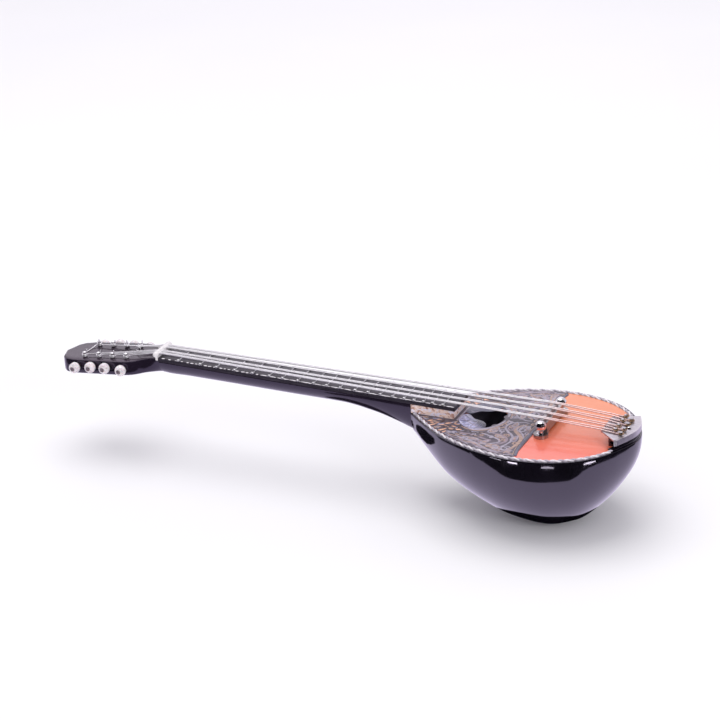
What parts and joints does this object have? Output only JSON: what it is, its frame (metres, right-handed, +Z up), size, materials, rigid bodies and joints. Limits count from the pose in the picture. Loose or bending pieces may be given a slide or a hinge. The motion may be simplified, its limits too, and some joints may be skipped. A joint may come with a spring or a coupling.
{
  "type": "display miniature mandolin",
  "caption": "Display-size bowl-back mandolin with a long fretted neck, wire strings in pairs, decorated guard, bridge, tailpiece, string posts and bead knobs that turn.",
  "frame": {"origin": "centre of the small flat on the back of the bowl, on which the instrument is set down", "axes": "+Z up, square to the soundboard; +X along the instrument towards the tail, so the head points to -X; +Y across it"},
  "size_m": [0.2316, 0.0598, 0.0435],
  "materials": {
    "black_lacquer": "gloss black lacquer over wood",
    "soundboard_wood": "glossy orange varnished spruce",
    "plain_wood": "bare softwood",
    "guard_sheet": "dark grey decorated sheet, semi-gloss",
    "purfling_rope": "twisted white cord",
    "riser_wood": "varnished orange-brown wood",
    "fretboard_black": "black stained hardwood, satin",
    "fret_wire": "polished nickel silver",
    "nut_white": "white plastic",
    "bridge_metal": "silver-grey painted metal",
    "chrome": "bright chrome",
    "sheet_metal": "silver-grey sheet metal",
    "brass_wire": "bright brass wire",
    "string_steel": "bright steel wire",
    "post_steel": "steel pin",
    "knob_pearl": "white pearl plastic",
    "pin_bronze": "dark bronzed steel"
  },
  "bodies": {
    "instrument_body": {"bowl": "black_lacquer", "soundboard": "soundboard_wood", "soundboard_braces": "plain_wood", "pickguard": "guard_sheet", "purfling": "purfling_rope", "neck": "black_lacquer", "neck_dowel": "plain_wood", "fretboard_riser": "riser_wood", "fretboard": "fretboard_black", "frets": "fret_wire", "nut": "nut_white", "bridge_base": "bridge_metal", "bridge_saddle": "bridge_metal", "bridge_screws": "chrome", "tailpiece": "sheet_metal", "tailpiece_block": "black_lacquer", "tailpiece_nail": "chrome", "string_hooks": "post_steel", "string_loops": "brass_wire", "string_1": "string_steel", "string_2": "string_steel", "string_3": "string_steel", "string_4": "string_steel", "string_5": "string_steel", "string_6": "string_steel", "string_7": "string_steel", "string_8": "string_steel"},
    "tuning_post_near_1": {"post_near_1": "post_steel", "winding_near_1": "string_steel"},
    "tuning_knob_near_1": {"knob_near_1": "knob_pearl", "knob_pin_near_1": "pin_bronze"},
    "tuning_post_near_2": {"post_near_2": "post_steel", "winding_near_2": "string_steel"},
    "tuning_knob_near_2": {"knob_near_2": "knob_pearl", "knob_pin_near_2": "pin_bronze"},
    "tuning_post_near_3": {"post_near_3": "post_steel", "winding_near_3": "string_steel"},
    "tuning_knob_near_3": {"knob_near_3": "knob_pearl", "knob_pin_near_3": "pin_bronze"},
    "tuning_post_near_4": {"post_near_4": "post_steel", "winding_near_4": "string_steel"},
    "tuning_knob_near_4": {"knob_near_4": "knob_pearl", "knob_pin_near_4": "pin_bronze"},
    "tuning_post_far_1": {"post_far_1": "post_steel", "winding_far_1": "string_steel"},
    "tuning_knob_far_1": {"knob_far_1": "knob_pearl", "knob_pin_far_1": "pin_bronze"},
    "tuning_post_far_2": {"post_far_2": "post_steel", "winding_far_2": "string_steel"},
    "tuning_knob_far_2": {"knob_far_2": "knob_pearl", "knob_pin_far_2": "pin_bronze"},
    "tuning_post_far_3": {"post_far_3": "post_steel", "winding_far_3": "string_steel"},
    "tuning_knob_far_3": {"knob_far_3": "knob_pearl", "knob_pin_far_3": "pin_bronze"},
    "tuning_post_far_4": {"post_far_4": "post_steel", "winding_far_4": "string_steel"},
    "tuning_knob_far_4": {"knob_far_4": "knob_pearl", "knob_pin_far_4": "pin_bronze"}
  },
  "joints": [
    {"name": "post_turn_near_1", "type": "hinge", "parent": "instrument_body", "child": "tuning_post_near_1", "pos_m": [-0.1717, -0.0055, 0.03982], "axis": [-0.0916, 0, 0.9958], "range_deg": [-90, 30]},
    {"name": "knob_turn_near_1", "type": "hinge", "parent": "instrument_body", "child": "tuning_knob_near_1", "pos_m": [-0.1712, -0.01145, 0.03727], "axis": [0, -1, 0], "continuous": true},
    {"name": "post_turn_near_2", "type": "hinge", "parent": "instrument_body", "child": "tuning_post_near_2", "pos_m": [-0.1778, -0.0055, 0.03926], "axis": [-0.0916, 0, 0.9958], "range_deg": [-90, 30]},
    {"name": "knob_turn_near_2", "type": "hinge", "parent": "instrument_body", "child": "tuning_knob_near_2", "pos_m": [-0.1783, -0.01145, 0.03722], "axis": [0, -1, 0], "continuous": true},
    {"name": "post_turn_near_3", "type": "hinge", "parent": "instrument_body", "child": "tuning_post_near_3", "pos_m": [-0.1839, -0.0055, 0.0387], "axis": [-0.0916, 0, 0.9958], "range_deg": [-90, 30]},
    {"name": "knob_turn_near_3", "type": "hinge", "parent": "instrument_body", "child": "tuning_knob_near_3", "pos_m": [-0.1846, -0.01145, 0.03684], "axis": [0, -1, 0], "continuous": true},
    {"name": "post_turn_near_4", "type": "hinge", "parent": "instrument_body", "child": "tuning_post_near_4", "pos_m": [-0.1902, -0.0055, 0.03812], "axis": [-0.0916, 0, 0.9958], "range_deg": [-90, 30]},
    {"name": "knob_turn_near_4", "type": "hinge", "parent": "instrument_body", "child": "tuning_knob_near_4", "pos_m": [-0.1916, -0.01145, 0.03579], "axis": [0, -1, 0], "continuous": true},
    {"name": "post_turn_far_1", "type": "hinge", "parent": "instrument_body", "child": "tuning_post_far_1", "pos_m": [-0.1717, 0.0055, 0.03982], "axis": [-0.0916, 0, 0.9958], "range_deg": [-90, 30]},
    {"name": "knob_turn_far_1", "type": "hinge", "parent": "instrument_body", "child": "tuning_knob_far_1", "pos_m": [-0.1712, 0.01145, 0.03727], "axis": [0, 1, 0], "continuous": true},
    {"name": "post_turn_far_2", "type": "hinge", "parent": "instrument_body", "child": "tuning_post_far_2", "pos_m": [-0.1778, 0.0055, 0.03926], "axis": [-0.0916, 0, 0.9958], "range_deg": [-90, 30]},
    {"name": "knob_turn_far_2", "type": "hinge", "parent": "instrument_body", "child": "tuning_knob_far_2", "pos_m": [-0.1783, 0.01145, 0.03722], "axis": [0, 1, 0], "continuous": true},
    {"name": "post_turn_far_3", "type": "hinge", "parent": "instrument_body", "child": "tuning_post_far_3", "pos_m": [-0.1839, 0.0055, 0.0387], "axis": [-0.0916, 0, 0.9958], "range_deg": [-90, 30]},
    {"name": "knob_turn_far_3", "type": "hinge", "parent": "instrument_body", "child": "tuning_knob_far_3", "pos_m": [-0.1846, 0.01145, 0.03684], "axis": [0, 1, 0], "continuous": true},
    {"name": "post_turn_far_4", "type": "hinge", "parent": "instrument_body", "child": "tuning_post_far_4", "pos_m": [-0.1902, 0.0055, 0.03812], "axis": [-0.0916, 0, 0.9958], "range_deg": [-90, 30]},
    {"name": "knob_turn_far_4", "type": "hinge", "parent": "instrument_body", "child": "tuning_knob_far_4", "pos_m": [-0.1916, 0.01145, 0.03579], "axis": [0, 1, 0], "continuous": true}
  ]
}
